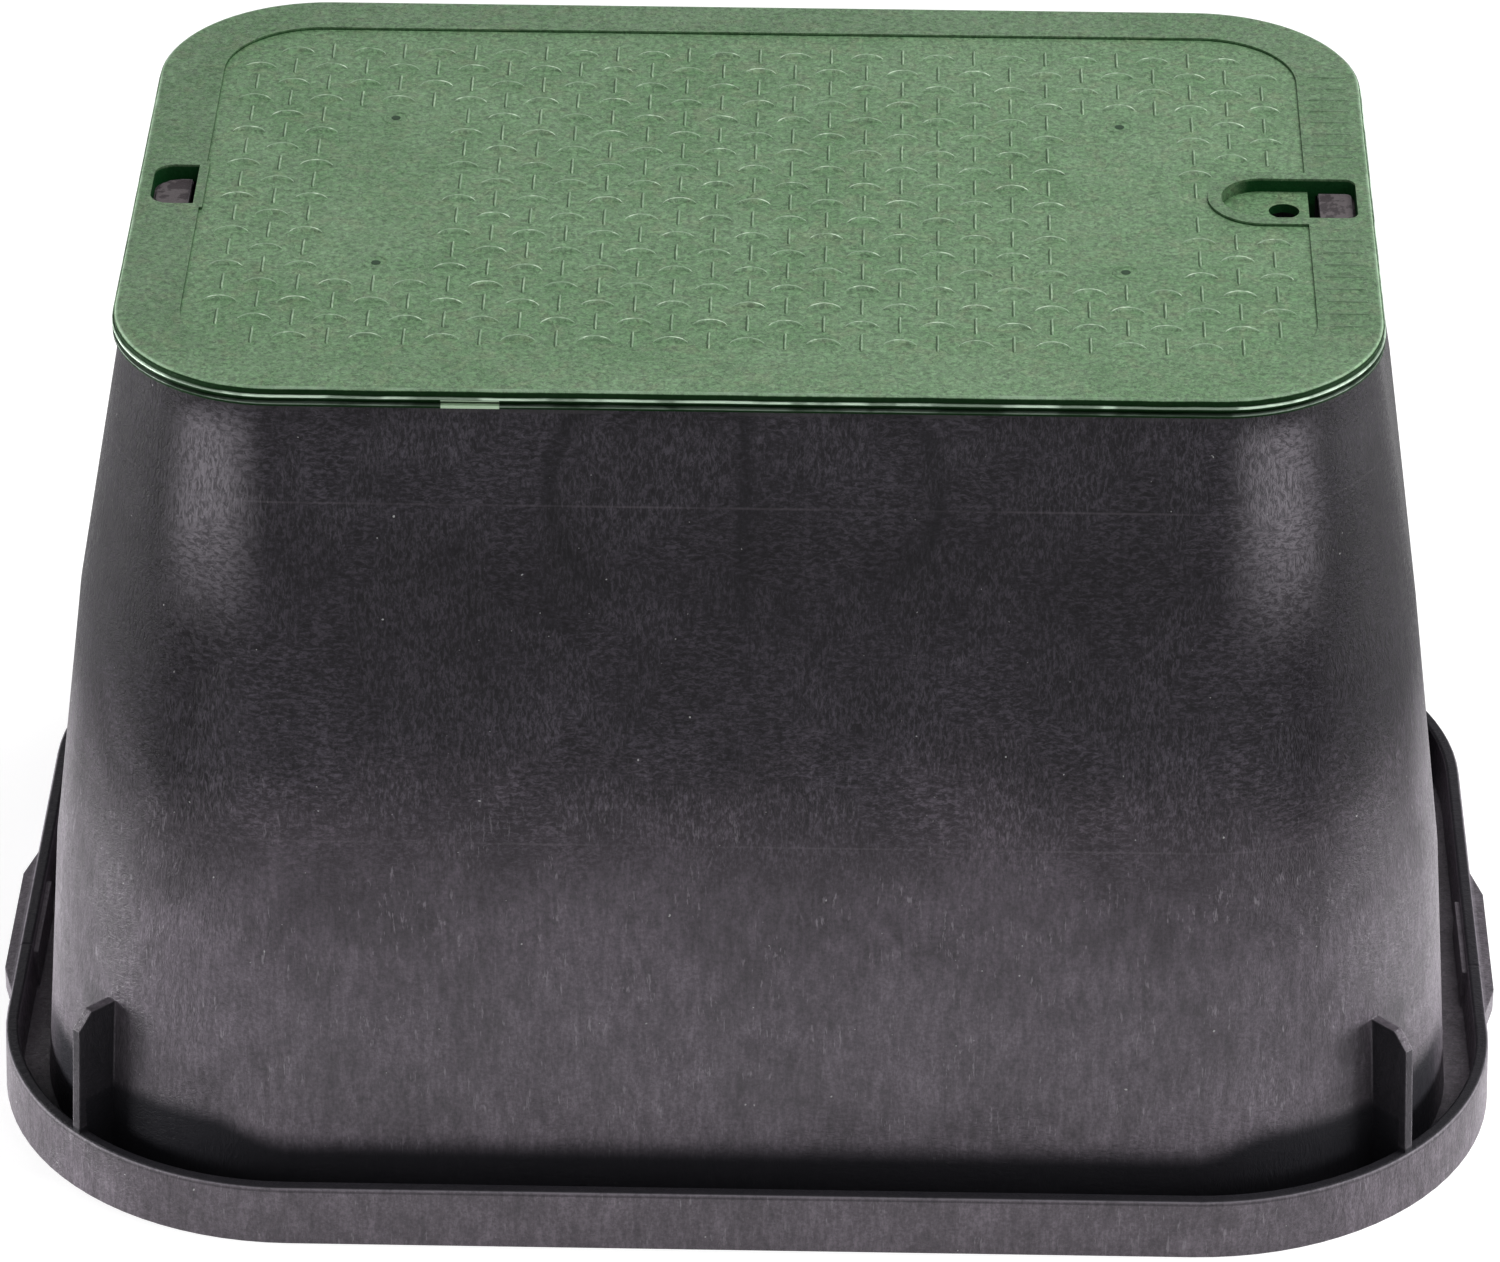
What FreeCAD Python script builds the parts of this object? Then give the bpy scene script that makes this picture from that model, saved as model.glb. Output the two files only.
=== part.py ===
"""Rectangular irrigation valve box with a bolt-down lid.

Two moulded pieces: a black body that flares towards an open foot, and a green
lid with a raised tread that lies on the seat ledge of the body.
Millimetres. +X along the length, +Y to the back, +Z up, origin at the middle of the foot.
"""
import FreeCAD
import Part
import math
import os

V = FreeCAD.Vector

# Overall sizes
LID_LENGTH = 442.0
LID_WIDTH = 298.0
LID_CORNER_RADIUS = 60.0
OVERALL_HEIGHT = 320.0
FOOT_SPREAD = 52.0

# Body wall
WALL_THICKNESS = 5.0
WALL_FOOT_OFFSET = 36.0
WALL_TOP_OFFSET = -2.8
WALL_BOW = 6.0
WALL_OUTER_STEPS = 3
WALL_INNER_STEPS = 2

# Foot channel and its rim
CHANNEL_FLOOR = 4.5
RIM_HEIGHT = 23.5
RIM_THICKNESS = 4.8
RIM_DRAFT = 0.8
RIM_EDGE_BEVEL = 0.9

# Corner gussets
GUSSET_THICKNESS = 3.5
GUSSET_HEIGHT = 72.0
GUSSET_REACH = 42.0
GUSSET_CHAMFER = 6.0

# Pads on the two ends of the rim
END_PAD_LENGTH = 94.0
END_PAD_CENTRE_Y = -29.0
END_PAD_PROUD = 4.0
END_PAD_CHAMFER = 15.0
END_PAD_DROP = 0.8
END_PAD_HEIGHT = 9.0
END_STEP_LENGTH = 48.0
END_STEP_CENTRE_Y = -22.0
END_STEP_THICKNESS = 1.8
END_STEP_DROP = 3.5
NOTCH_CENTRE_Y = -46.0
NOTCH_WIDTH = 1.6
NOTCH_DEPTH = 1.0

# Seat ledge at the top of the body
LEDGE_WIDTH = 16.2
LEDGE_THICKNESS = 5.0
LEDGE_WEB_THICKNESS = 3.0
LEDGE_WEB_DEPTH = 26.0
LEDGE_WEB_SPACING = 90.0

# Low lugs on the seat ledge that stand in the two slots of the lid
SEAT_LUG_HEIGHT = 2.5
SEAT_LUG_HALF_WIDTH = 11.5
SEAT_LUG_GAP = 1.3
HAND_LUG_CORNER = 8.0
POCKET_LUG_CORNER = 2.0
CORNER_STEPS = 3

# Lug inside the body that takes the lid bolt
LUG_THICKNESS = 16.0
LUG_RADIUS = 15.0
LUG_CLEARANCE = 1.5
LUG_BORE = 8.0
LUG_WEB_DEPTH = 34.0
LUG_WEB_THICKNESS = 5.0

# Lid edge
LID_EDGE = 6.7
BEAD_HEIGHT = 1.1
BEAD_SLOPE = 0.3
BEAD_PROUD = 0.6
EDGE_GROOVE_DEPTH = 1.4
EDGE_GROOVE_HEIGHT = 1.7
LID_EDGE_BEVEL = 0.9

# Lid plate, its sunk panel and the ribs below it
PLATE_THICKNESS = 5.0
PANEL_END_INSET = 23.8
PANEL_SIDE_INSET = 22.4
PANEL_CORNER_RADIUS = 35.0
PANEL_DEPTH = 1.1
SKIRT_CLEARANCE = 0.8
SKIRT_THICKNESS = 3.0
RIB_DEPTH = 12.0
RIB_THICKNESS = 2.6
RIB_COLUMNS = 5
RIB_COLUMN_PITCH = 74.0
RIB_ROW_OFFSETS = (28.0, 76.0)

# Hand slot at the -X end of the lid
HAND_SLOT_INSET = 5.7
HAND_SLOT_LENGTH = 15.8
HAND_SLOT_HALF = 14.8
HAND_SLOT_CORNER = 7.0
HAND_COLLAR_END = 3.4
HAND_COLLAR_SIDE = 2.7

# Bolt pocket at the +X end of the lid
POCKET_INSET = 6.0
POCKET_LENGTH = 48.3
POCKET_HALF = 14.8
POCKET_DEPTH = 5.3
POCKET_FLOOR = 3.4
POCKET_FLOOR_LENGTH = 31.5
POCKET_CORNER = 4.0
COLLAR_WIDTH = 4.8
BOLT_HOLE = 10.9
BOLT_HOLE_INSET = 31.7

# Tread on the panel
TREAD_PITCH_X = 13.16
TREAD_PITCH_Y = 12.84
TREAD_INSET = 34.0
TREAD_HEIGHT = 0.8
TREAD_SINK = 0.3
BAR_WIDTH = 1.8
BAR_LENGTH = 10.8
ARC_CHORD = 11.5
ARC_OUTER_RISE = 3.4
ARC_INNER_RISE = 1.0
ARC_SHOULDER = 0.38
ARC_POCKET_GAP = 6.5
BAR_POCKET_GAP = 4.5

# Bare fields in the tread
FIELD_CENTRE_X = 131.6
FIELD_HALF_X = 18.0
FIELD_HALF_Y = 62.0

# Grip bars on the border, either side of the pocket
GRIP_COUNT = 8
GRIP_PITCH = 9.0
GRIP_START = 32.0
GRIP_LENGTH = 15.0
GRIP_WIDTH = 2.0
GRIP_HEIGHT = 0.5

# Worked out from the sizes above
CORNER_X = LID_LENGTH / 2 - LID_CORNER_RADIUS
CORNER_Y = LID_WIDTH / 2 - LID_CORNER_RADIUS
LID_BOTTOM = OVERALL_HEIGHT - LID_EDGE
BODY_TOP = LID_BOTTOM
RIM_REACH = LID_CORNER_RADIUS + FOOT_SPREAD
LEDGE_REACH = LID_CORNER_RADIUS + WALL_TOP_OFFSET - LEDGE_WIDTH
PANEL_TOP = OVERALL_HEIGHT - PANEL_DEPTH
SKIRT_REACH = LEDGE_REACH - SKIRT_CLEARANCE
RIB_BOTTOM = LID_BOTTOM - RIB_DEPTH
HAND_OUTER_X = HAND_SLOT_INSET - LID_LENGTH / 2
POCKET_OUTER_X = LID_LENGTH / 2 - POCKET_INSET
POCKET_INNER_X = POCKET_OUTER_X - POCKET_LENGTH
FLOOR_END_X = POCKET_INNER_X + POCKET_FLOOR_LENGTH
BOLT_X = LID_LENGTH / 2 - BOLT_HOLE_INSET


def wall_circle():
    """Centre (reach, height) and radius of the bowed outer wall line."""
    foot = (LID_CORNER_RADIUS + WALL_FOOT_OFFSET, CHANNEL_FLOOR)
    head = (LID_CORNER_RADIUS + WALL_TOP_OFFSET, BODY_TOP)
    run = head[0] - foot[0]
    rise = head[1] - foot[1]
    chord = math.hypot(run, rise)
    radius = (chord ** 2 / 4 + WALL_BOW ** 2) / (2 * WALL_BOW)
    back = radius - WALL_BOW
    centre_reach = (foot[0] + head[0]) / 2 - back * rise / chord
    centre_height = (foot[1] + head[1]) / 2 + back * run / chord
    return centre_reach, centre_height, radius


def wall_reach(height, inward=0.0):
    """Distance of the wall face from the corner axis at a height."""
    centre_reach, centre_height, radius = wall_circle()
    return centre_reach + math.sqrt((radius - inward) ** 2 - (height - centre_height) ** 2)


def wall_line(low, high, steps, inward=0.0):
    """Points that follow the bowed wall between two heights, both ends included."""
    heights = [low + (high - low) * step / steps for step in range(steps + 1)]
    return [(wall_reach(z, inward), z) for z in heights]


def profile_face(points):
    """Closed face in the XZ plane through (reach, height) points."""
    corners = [V(reach, 0, height) for reach, height in points]
    return Part.Face(Part.makePolygon(corners + corners[:1]))


def ring(face):
    """Sweep a profile round the rounded rectangle that the box follows."""
    parts = []
    for quarter in range(4):
        along, across = (CORNER_X, CORNER_Y) if quarter % 2 == 0 else (CORNER_Y, CORNER_X)
        side = face.copy()
        side.translate(V(along, -across, 0))
        bar = side.extrude(V(0, 2 * across, 0))
        corner = face.copy()
        corner.translate(V(along, across, 0))
        bend = corner.revolve(V(along, across, 0), V(0, 0, 1), 90)
        for part in (bar, bend):
            part.rotate(V(0, 0, 0), V(0, 0, 1), 90 * quarter)
            parts.append(part)
    return parts[0].fuse(parts[1:]).removeSplitter()


def rounded_slab(reach, low, high):
    """Flat slab with the outline of the box at a distance from the corner axes."""
    outline = rounded_wire(CORNER_X + reach, CORNER_Y + reach, reach, low)
    return Part.Face(outline).extrude(V(0, 0, high - low))


def rounded_wire(half_x, half_y, radius, height):
    """Rounded rectangle about the origin at a height."""
    edges = []
    turn = radius * math.sqrt(0.5)
    for quarter in range(4):
        along, across = (half_x, half_y) if quarter % 2 == 0 else (half_y, half_x)
        spin = FreeCAD.Rotation(V(0, 0, 1), 90 * quarter)
        centre = V(along - radius, across - radius, height)
        side = [V(along, radius - across, height), V(along, across - radius, height)]
        bend = [centre + V(radius, 0, 0), centre + V(turn, turn, 0), centre + V(0, radius, 0)]
        edges.append(Part.LineSegment(*[spin.multVec(p) for p in side]).toShape())
        edges.append(Part.Arc(*[spin.multVec(p) for p in bend]).toShape())
    return Part.Wire(edges)


def box(x_range, y_range, z_range):
    """Plain box between pairs of limits."""
    low = V(min(x_range), min(y_range), min(z_range))
    size = [abs(r[1] - r[0]) for r in (x_range, y_range, z_range)]
    return Part.makeBox(*size, low)


def prism(points, height, low):
    """Upright prism over a plan outline of straight sides."""
    corners = [V(x, y, low) for x, y in points]
    return Part.Face(Part.makePolygon(corners + corners[:1])).extrude(V(0, 0, height))


def web(points, thickness, middle, degrees, base):
    """Thin upright web from a (reach, height) outline, turned about a corner or side axis."""
    corners = [V(reach, middle - thickness / 2, height) for reach, height in points]
    plate = Part.Face(Part.makePolygon(corners + corners[:1])).extrude(V(0, thickness, 0))
    plate.rotate(V(0, 0, 0), V(0, 0, 1), degrees)
    plate.translate(base)
    return plate


def half_round_slot(outer_x, inner_x, half_width, low, high):
    """Slot along X whose end at outer_x is half round and whose end at inner_x is square."""
    towards = 1 if inner_x > outer_x else -1
    centre_x = outer_x + towards * half_width
    start = V(centre_x, -half_width, low)
    tip = V(outer_x, 0, low)
    finish = V(centre_x, half_width, low)
    corners = [finish, V(inner_x, half_width, low), V(inner_x, -half_width, low), start]
    edges = [Part.Arc(start, tip, finish).toShape()]
    edges += [Part.LineSegment(a, b).toShape() for a, b in zip(corners[:-1], corners[1:])]
    return Part.Face(Part.Wire(edges)).extrude(V(0, 0, high - low))


def body_shell():
    """Wall, seat ledge, channel floor and rim as one swept profile."""
    rim_top_reach = RIM_REACH - RIM_DRAFT
    rim_inner_reach = rim_top_reach - RIM_THICKNESS
    bevel = RIM_EDGE_BEVEL
    points = [
        (RIM_REACH, 0),
        (rim_top_reach, RIM_HEIGHT - bevel),
        (rim_top_reach - bevel, RIM_HEIGHT),
        (rim_inner_reach + bevel, RIM_HEIGHT),
        (rim_inner_reach, RIM_HEIGHT - bevel),
        (rim_inner_reach - RIM_DRAFT, CHANNEL_FLOOR),
    ]
    points += wall_line(CHANNEL_FLOOR, BODY_TOP, WALL_OUTER_STEPS)
    ledge_bottom = BODY_TOP - LEDGE_THICKNESS
    points += [(LEDGE_REACH, BODY_TOP), (LEDGE_REACH, ledge_bottom)]
    points += wall_line(ledge_bottom, 0, WALL_INNER_STEPS, WALL_THICKNESS)
    return ring(profile_face(points))


def corner_gussets():
    """Four thin gussets that tie the wall to the rim across the channel."""
    sunk = WALL_THICKNESS / 2
    outer = LID_CORNER_RADIUS + GUSSET_REACH
    rim_seat = RIM_REACH - RIM_DRAFT - RIM_EDGE_BEVEL
    foot = CHANNEL_FLOOR / 2
    outline = [
        (wall_reach(foot, sunk), foot),
        (rim_seat - RIM_THICKNESS / 2, foot),
        (rim_seat, RIM_HEIGHT - RIM_EDGE_BEVEL),
        (outer + GUSSET_CHAMFER, GUSSET_HEIGHT - GUSSET_CHAMFER),
        (outer, GUSSET_HEIGHT),
        (wall_reach(GUSSET_HEIGHT, sunk), GUSSET_HEIGHT),
    ]
    gussets = []
    for sign_x in (-1, 1):
        for sign_y in (-1, 1):
            degrees = math.degrees(math.atan2(sign_y, sign_x))
            base = V(sign_x * CORNER_X, sign_y * CORNER_Y, 0)
            gussets.append(web(outline, GUSSET_THICKNESS, 0, degrees, base))
    return gussets


def end_pads(sign):
    """Pad outside the rim and step inside it at one end of the box."""
    face = CORNER_X + RIM_REACH - RIM_DRAFT
    inner = face - RIM_THICKNESS
    low = END_PAD_CENTRE_Y - END_PAD_LENGTH / 2
    high = END_PAD_CENTRE_Y + END_PAD_LENGTH / 2
    proud = face + END_PAD_PROUD
    buried = face - RIM_THICKNESS / 2
    plan = [
        (sign * buried, low),
        (sign * face, low),
        (sign * proud, low + END_PAD_CHAMFER),
        (sign * proud, high - END_PAD_CHAMFER),
        (sign * face, high),
        (sign * buried, high),
    ]
    pad = prism(plan, END_PAD_HEIGHT, RIM_HEIGHT - END_PAD_DROP - END_PAD_HEIGHT)
    step_low = END_STEP_CENTRE_Y - END_STEP_LENGTH / 2
    step_high = END_STEP_CENTRE_Y + END_STEP_LENGTH / 2
    step_range = (sign * (inner - END_STEP_THICKNESS), sign * buried)
    step = box(step_range, (step_low, step_high), (CHANNEL_FLOOR / 2, RIM_HEIGHT - END_STEP_DROP))
    return [pad, step]


def rim_notch(sign):
    """Shallow V notch across the top of the rim at one end."""
    face = CORNER_X + RIM_REACH
    inner = sign * (face - RIM_DRAFT - RIM_THICKNESS - RIM_EDGE_BEVEL)
    points = [
        V(inner, NOTCH_CENTRE_Y - NOTCH_WIDTH / 2, RIM_HEIGHT),
        V(inner, NOTCH_CENTRE_Y, RIM_HEIGHT - NOTCH_DEPTH),
        V(inner, NOTCH_CENTRE_Y + NOTCH_WIDTH / 2, RIM_HEIGHT),
    ]
    triangle = Part.Face(Part.makePolygon(points + points[:1]))
    return triangle.extrude(V(sign * (RIM_THICKNESS + RIM_EDGE_BEVEL), 0, 0))


def seat_lug(outer_x, corner):
    """Low lug on the seat ledge, with rounded corners at its outer X end."""
    sign = math.copysign(1, outer_x)
    inner_x = sign * (CORNER_X + LEDGE_REACH)
    plan = [(inner_x, -SEAT_LUG_HALF_WIDTH)]
    for side in (-1, 1):
        for step in range(CORNER_STEPS + 1):
            turn = math.radians(90) * (step if side == -1 else CORNER_STEPS - step) / CORNER_STEPS
            x = outer_x - sign * corner * (1 - math.sin(turn))
            y = side * (SEAT_LUG_HALF_WIDTH - corner * (1 - math.cos(turn)))
            plan.append((x, y))
    plan.append((inner_x, SEAT_LUG_HALF_WIDTH))
    low = BODY_TOP - LEDGE_THICKNESS / 2
    return prism(plan, BODY_TOP + SEAT_LUG_HEIGHT - low, low)


def seat_lugs():
    """The two lugs that locate the lid through its slots."""
    at_hand_slot = seat_lug(HAND_OUTER_X + SEAT_LUG_GAP, HAND_LUG_CORNER)
    at_pocket = seat_lug(POCKET_OUTER_X - SEAT_LUG_GAP, POCKET_LUG_CORNER)
    return [at_hand_slot, at_pocket]


def ledge_webs():
    """Triangular webs under the seat ledge on the two long sides."""
    high = BODY_TOP - LEDGE_THICKNESS / 2
    low = BODY_TOP - LEDGE_THICKNESS - LEDGE_WEB_DEPTH
    sunk = WALL_THICKNESS / 2
    outline = [
        (wall_reach(high, sunk), high),
        (LEDGE_REACH, high),
        (LEDGE_REACH, BODY_TOP - LEDGE_THICKNESS),
        (wall_reach(low, sunk), low),
    ]
    webs = []
    count = int(CORNER_X // LEDGE_WEB_SPACING)
    for step in range(-count, count + 1):
        for degrees in (90, -90):
            base = V(step * LEDGE_WEB_SPACING, math.copysign(CORNER_Y, degrees), 0)
            webs.append(web(outline, LEDGE_WEB_THICKNESS, 0, degrees, base))
    return webs


def bolt_lug():
    """Lug inside the +X end wall, below the pocket of the lid, with a web under it."""
    top = RIB_BOTTOM - LUG_CLEARANCE
    bottom = top - LUG_THICKNESS
    sunk = WALL_THICKNESS / 2
    wall_x = CORNER_X + wall_reach(top, sunk)
    block = box((BOLT_X, wall_x), (-LUG_RADIUS, LUG_RADIUS), (bottom, top))
    nose = Part.makeCylinder(LUG_RADIUS, LUG_THICKNESS, V(BOLT_X, 0, bottom))
    web_low = bottom - LUG_WEB_DEPTH
    outline = [
        (wall_reach(bottom, sunk), bottom + 1),
        (BOLT_X - CORNER_X + LUG_BORE, bottom + 1),
        (BOLT_X - CORNER_X + LUG_BORE, bottom),
        (wall_reach(web_low, sunk), web_low),
    ]
    foot = web(outline, LUG_WEB_THICKNESS, 0, 0, V(CORNER_X, 0, 0))
    return [block, nose, foot]


def lug_bore():
    """Bore through the lug for the lid bolt."""
    top = RIB_BOTTOM - LUG_CLEARANCE
    return Part.makeCylinder(LUG_BORE / 2, LUG_THICKNESS, V(BOLT_X, 0, top - LUG_THICKNESS))


def make_body():
    """The whole black moulding."""
    additions = corner_gussets() + ledge_webs() + seat_lugs() + bolt_lug()
    for sign in (-1, 1):
        additions += end_pads(sign)
    body = body_shell().fuse(additions)
    body = body.cut([rim_notch(-1), rim_notch(1), lug_bore()])
    return body.removeSplitter()


def lid_edge():
    """Rim of the lid, with beads and a groove on its edge."""
    reach = LID_CORNER_RADIUS
    overlap = SKIRT_REACH - SKIRT_THICKNESS * 2
    groove_reach = reach - EDGE_GROOVE_DEPTH
    face_reach = reach - BEAD_PROUD
    bead_top = LID_BOTTOM + BEAD_HEIGHT
    groove_top = bead_top + EDGE_GROOVE_HEIGHT
    second_top = groove_top + BEAD_HEIGHT
    points = [
        (overlap, LID_BOTTOM),
        (reach, LID_BOTTOM),
        (reach, bead_top),
        (groove_reach, bead_top + BEAD_SLOPE),
        (groove_reach, groove_top - BEAD_SLOPE),
        (reach, groove_top),
        (reach, second_top),
        (face_reach, second_top + BEAD_SLOPE),
        (face_reach, OVERALL_HEIGHT - LID_EDGE_BEVEL),
        (face_reach - LID_EDGE_BEVEL, OVERALL_HEIGHT),
        (overlap, OVERALL_HEIGHT),
    ]
    return ring(profile_face(points))


def panel_recess():
    """Space above the sunk panel, with tighter corners than the lid."""
    half_x = LID_LENGTH / 2 - PANEL_END_INSET
    half_y = LID_WIDTH / 2 - PANEL_SIDE_INSET
    outline = rounded_wire(half_x, half_y, PANEL_CORNER_RADIUS, PANEL_TOP)
    return Part.Face(outline).extrude(V(0, 0, 2 * PANEL_DEPTH))


def lid_skirt():
    """Locating skirt that drops inside the seat ledge."""
    inner = SKIRT_REACH - SKIRT_THICKNESS
    top = LID_BOTTOM + 1
    points = [(inner, RIB_BOTTOM), (SKIRT_REACH, RIB_BOTTOM), (SKIRT_REACH, top), (inner, top)]
    return ring(profile_face(points))


def lid_ribs():
    """Crossing ribs below the plate, held inside the skirt."""
    reach = SKIRT_REACH - SKIRT_THICKNESS / 2
    limit = rounded_slab(reach, RIB_BOTTOM, PANEL_TOP - PLATE_THICKNESS / 2)
    half_x = CORNER_X + reach
    half_y = CORNER_Y + reach
    heights = (RIB_BOTTOM, PANEL_TOP - PLATE_THICKNESS / 2)
    half = RIB_THICKNESS / 2
    ribs = []
    for column in range(RIB_COLUMNS):
        x = (column - (RIB_COLUMNS - 1) / 2) * RIB_COLUMN_PITCH
        ribs.append(box((x - half, x + half), (-half_y, half_y), heights))
    for offset in RIB_ROW_OFFSETS:
        for y in (-offset, offset):
            ribs.append(box((-half_x, half_x), (y - half, y + half), heights))
    return ribs[0].fuse(ribs[1:]).common(limit)


def collars():
    """Raised collars round the pocket and the hand slot, level with the border."""
    border = LID_LENGTH / 2 - PANEL_END_INSET + SKIRT_THICKNESS
    heights = (PANEL_TOP - PLATE_THICKNESS / 2, OVERALL_HEIGHT)
    half = POCKET_HALF + COLLAR_WIDTH
    collar_inner = POCKET_INNER_X - COLLAR_WIDTH
    around_pocket = half_round_slot(collar_inner, border, half, *heights)
    tray_bottom = OVERALL_HEIGHT - POCKET_DEPTH - POCKET_FLOOR
    tray = half_round_slot(collar_inner, FLOOR_END_X, half, tray_bottom, PANEL_TOP)
    hand_inner = HAND_OUTER_X + HAND_SLOT_LENGTH + HAND_COLLAR_END
    hand_half = HAND_SLOT_HALF + HAND_COLLAR_SIDE
    around_hand = box((-border, hand_inner), (-hand_half, hand_half), heights)
    return [around_pocket, tray, around_hand]


def lid_openings():
    """Hand slot, pocket, through slot and bolt hole, as solids to cut away."""
    heights = (RIB_BOTTOM - 1, OVERALL_HEIGHT + 1)
    hand = box((HAND_OUTER_X, HAND_OUTER_X + HAND_SLOT_LENGTH), (-HAND_SLOT_HALF, HAND_SLOT_HALF), heights)
    hand = round_end(hand, HAND_OUTER_X, HAND_SLOT_CORNER)
    floor = OVERALL_HEIGHT - POCKET_DEPTH
    pocket = half_round_slot(POCKET_INNER_X, FLOOR_END_X, POCKET_HALF, floor, heights[1])
    through = box((FLOOR_END_X, POCKET_OUTER_X), (-POCKET_HALF, POCKET_HALF), heights)
    through = round_end(through, POCKET_OUTER_X, POCKET_CORNER)
    bolt = Part.makeCylinder(BOLT_HOLE / 2, heights[1] - heights[0], V(BOLT_X, 0, heights[0]))
    return [hand, pocket, through, bolt]


def round_end(block, end_x, radius):
    """Round the two upright edges of a block at one X end."""
    edges = []
    for edge in block.Edges:
        ends = [vertex.Point for vertex in edge.Vertexes]
        upright = abs(ends[0].z - ends[1].z) > 1
        if upright and abs(ends[0].x - end_x) < 0.01:
            edges.append(edge)
    return block.makeFillet(radius, edges)


def solid_from(outlines):
    """Closed solid from flat outlines."""
    faces = [Part.Face(Part.makePolygon(points + points[:1])) for points in outlines]
    solid = Part.Solid(Part.Shell(faces))
    if solid.Volume < 0:
        solid.reverse()
    return solid


def hip_ridge(width, length, height):
    """Ridge along Y with four sloping sides, like a hipped roof, sunk a little at its foot."""
    wide = width / 2
    half = length / 2
    crest_half = half - wide
    base = [V(x, y, -TREAD_SINK) for x, y in ((-wide, -half), (wide, -half), (wide, half), (-wide, half))]
    crest = [V(0, -crest_half, height), V(0, crest_half, height)]
    outlines = [
        base,
        [base[0], base[1], crest[0]],
        [base[1], base[2], crest[1], crest[0]],
        [base[2], base[3], crest[1]],
        [base[3], base[0], crest[0], crest[1]],
    ]
    return solid_from(outlines)


def tread_bar():
    """Short straight ridge along Y, at the origin of the panel surface."""
    return hip_ridge(BAR_WIDTH, BAR_LENGTH, TREAD_HEIGHT)


def tread_arc():
    """Half-moon that bows towards +Y, at the origin of the panel surface."""
    radius = (ARC_CHORD ** 2 / 4 + ARC_OUTER_RISE ** 2) / (2 * ARC_OUTER_RISE)
    sweep = math.asin(ARC_CHORD / 2 / radius) * ARC_SHOULDER
    middle = ARC_OUTER_RISE / 2
    shoulder_x = radius * math.sin(sweep)
    shoulder_y = radius * math.cos(sweep) - radius + middle
    plan = [
        (-ARC_CHORD / 2, -middle),
        (0, ARC_INNER_RISE - middle),
        (ARC_CHORD / 2, -middle),
        (shoulder_x, shoulder_y),
        (-shoulder_x, shoulder_y),
    ]
    base = [V(x, y, -TREAD_SINK) for x, y in plan]
    crest = V(0, (ARC_INNER_RISE + ARC_OUTER_RISE) / 2 - middle, TREAD_HEIGHT)
    sides = [[a, b, crest] for a, b in zip(base, base[1:] + base[:1])]
    return solid_from([base] + sides)


def pocket_distance(x, y):
    """Distance of a point of the panel from the collar of the pocket."""
    centre_x = POCKET_INNER_X + POCKET_HALF
    return math.hypot(min(x - centre_x, 0), y) - POCKET_HALF - COLLAR_WIDTH


def tread_places():
    """Chequered places of the tread, left out of the bare fields, the corners and the pocket."""
    columns = int((LID_LENGTH / 2 - TREAD_INSET) / TREAD_PITCH_X)
    rows = round((LID_WIDTH / 2 - TREAD_INSET) / TREAD_PITCH_Y)
    corner_room = LID_CORNER_RADIUS - TREAD_INSET
    places = []
    for column in range(-columns, columns + 1):
        for row in range(-rows, rows):
            x = column * TREAD_PITCH_X
            y = (row + 0.5) * TREAD_PITCH_Y
            is_arc = (column + row) % 2 == 1
            beyond_x = max(abs(x) - CORNER_X, 0)
            beyond_y = max(abs(y) - CORNER_Y, 0)
            in_corner = math.hypot(beyond_x, beyond_y) > corner_room
            in_field = abs(abs(x) - FIELD_CENTRE_X) < FIELD_HALF_X and abs(y) < FIELD_HALF_Y
            gap = ARC_POCKET_GAP if is_arc else BAR_POCKET_GAP
            at_pocket = pocket_distance(x, y) < gap
            if not (in_corner or in_field or at_pocket):
                places.append((x, y, is_arc))
    return places


def tread():
    """All bars and arcs of the tread, on the panel surface."""
    bar = tread_bar()
    arc = tread_arc()
    marks = []
    for x, y, is_arc in tread_places():
        mark = arc.copy() if is_arc else bar.copy()
        mark.translate(V(x, y, PANEL_TOP))
        marks.append(mark)
    return marks


def grip_bars():
    """Raised bars across the border, in two rows beside the pocket."""
    x = LID_LENGTH / 2 - PANEL_END_INSET / 2 - LID_EDGE_BEVEL
    bars = []
    for sign in (-1, 1):
        for step in range(GRIP_COUNT):
            bar = hip_ridge(GRIP_WIDTH, GRIP_LENGTH, GRIP_HEIGHT)
            bar.rotate(V(0, 0, 0), V(0, 0, 1), 90)
            bar.translate(V(x, sign * (GRIP_START + step * GRIP_PITCH), OVERALL_HEIGHT))
            bars.append(bar)
    return bars


def make_lid():
    """The whole green moulding."""
    slab = rounded_slab(SKIRT_REACH - SKIRT_THICKNESS, PANEL_TOP - PLATE_THICKNESS, PANEL_TOP)
    rim = lid_edge().cut(panel_recess())
    lid = rim.fuse([slab, lid_skirt(), lid_ribs()] + collars())
    lid = lid.cut(lid_openings()).removeSplitter()
    return lid.fuse(tread() + grip_bars())


os.makedirs("parts", exist_ok=True)
for name, make in (("valve_box_body", make_body), ("valve_box_lid", make_lid)):
    shape = make()
    solids = shape.Solids
    print(name, "solids", len(solids), "valid", shape.isValid(), "volume", round(shape.Volume))
    solids[0].exportStep("parts/" + name + ".step")
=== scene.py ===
"""Looks for the irrigation valve box: plastics, smooth tread, floor, light and camera."""

import math

import bpy
from mathutils import Matrix, Vector


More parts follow.
